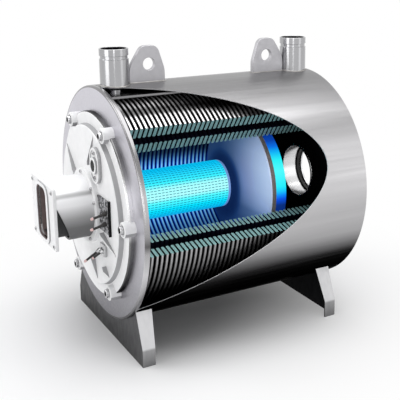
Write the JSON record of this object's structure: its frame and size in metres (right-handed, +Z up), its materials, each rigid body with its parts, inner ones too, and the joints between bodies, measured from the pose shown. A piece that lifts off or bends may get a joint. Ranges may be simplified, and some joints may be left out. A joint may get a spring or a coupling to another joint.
{
  "type": "industrial boiler",
  "caption": "Horizontal cylindrical condensing boiler with a cutaway side that shows its coil stacks, glowing burner tube and refractory disc, with a cast burner door, air inlet duct and legs.",
  "frame": {"origin": "on the floor below the middle of the whole part", "axes": "+Z up, +Y along the boiler's axis from the burner door to the flue, +X towards the cutaway side"},
  "size_m": [0.6, 0.821, 0.753],
  "materials": {
    "shell_steel": "brushed along the circumference",
    "plate_steel": "smooth rolled plate",
    "pipe_steel": "satin",
    "leg_steel": "satin sheet",
    "coil_steel": "satin tube",
    "cast_aluminium": "fine cast",
    "burner_mesh": "perforated, glowing",
    "refractory": "matte board",
    "sight_glass": "clear",
    "insulator": "mottled",
    "electrode": "dark rod"
  },
  "bodies": {
    "root": {"front_plate": "plate_steel", "outer_shell": "shell_steel", "rear_plate": "plate_steel", "front_leg": "leg_steel", "rear_leg": "leg_steel", "lifting_lugs": "leg_steel", "water_stubs": "pipe_steel", "upper_header": "pipe_steel", "outer_coil": "coil_steel", "inner_coil": "coil_steel", "burner_tube": "burner_mesh", "refractory_disc": "refractory", "burner_door": "cast_aluminium", "inlet_duct": "cast_aluminium", "sight_glass": "sight_glass", "electrode_plate": "insulator", "upper_electrode": "electrode", "lower_electrode": "electrode", "igniter_block": "insulator", "igniter_rod": "electrode"}
  },
  "joints": []
}
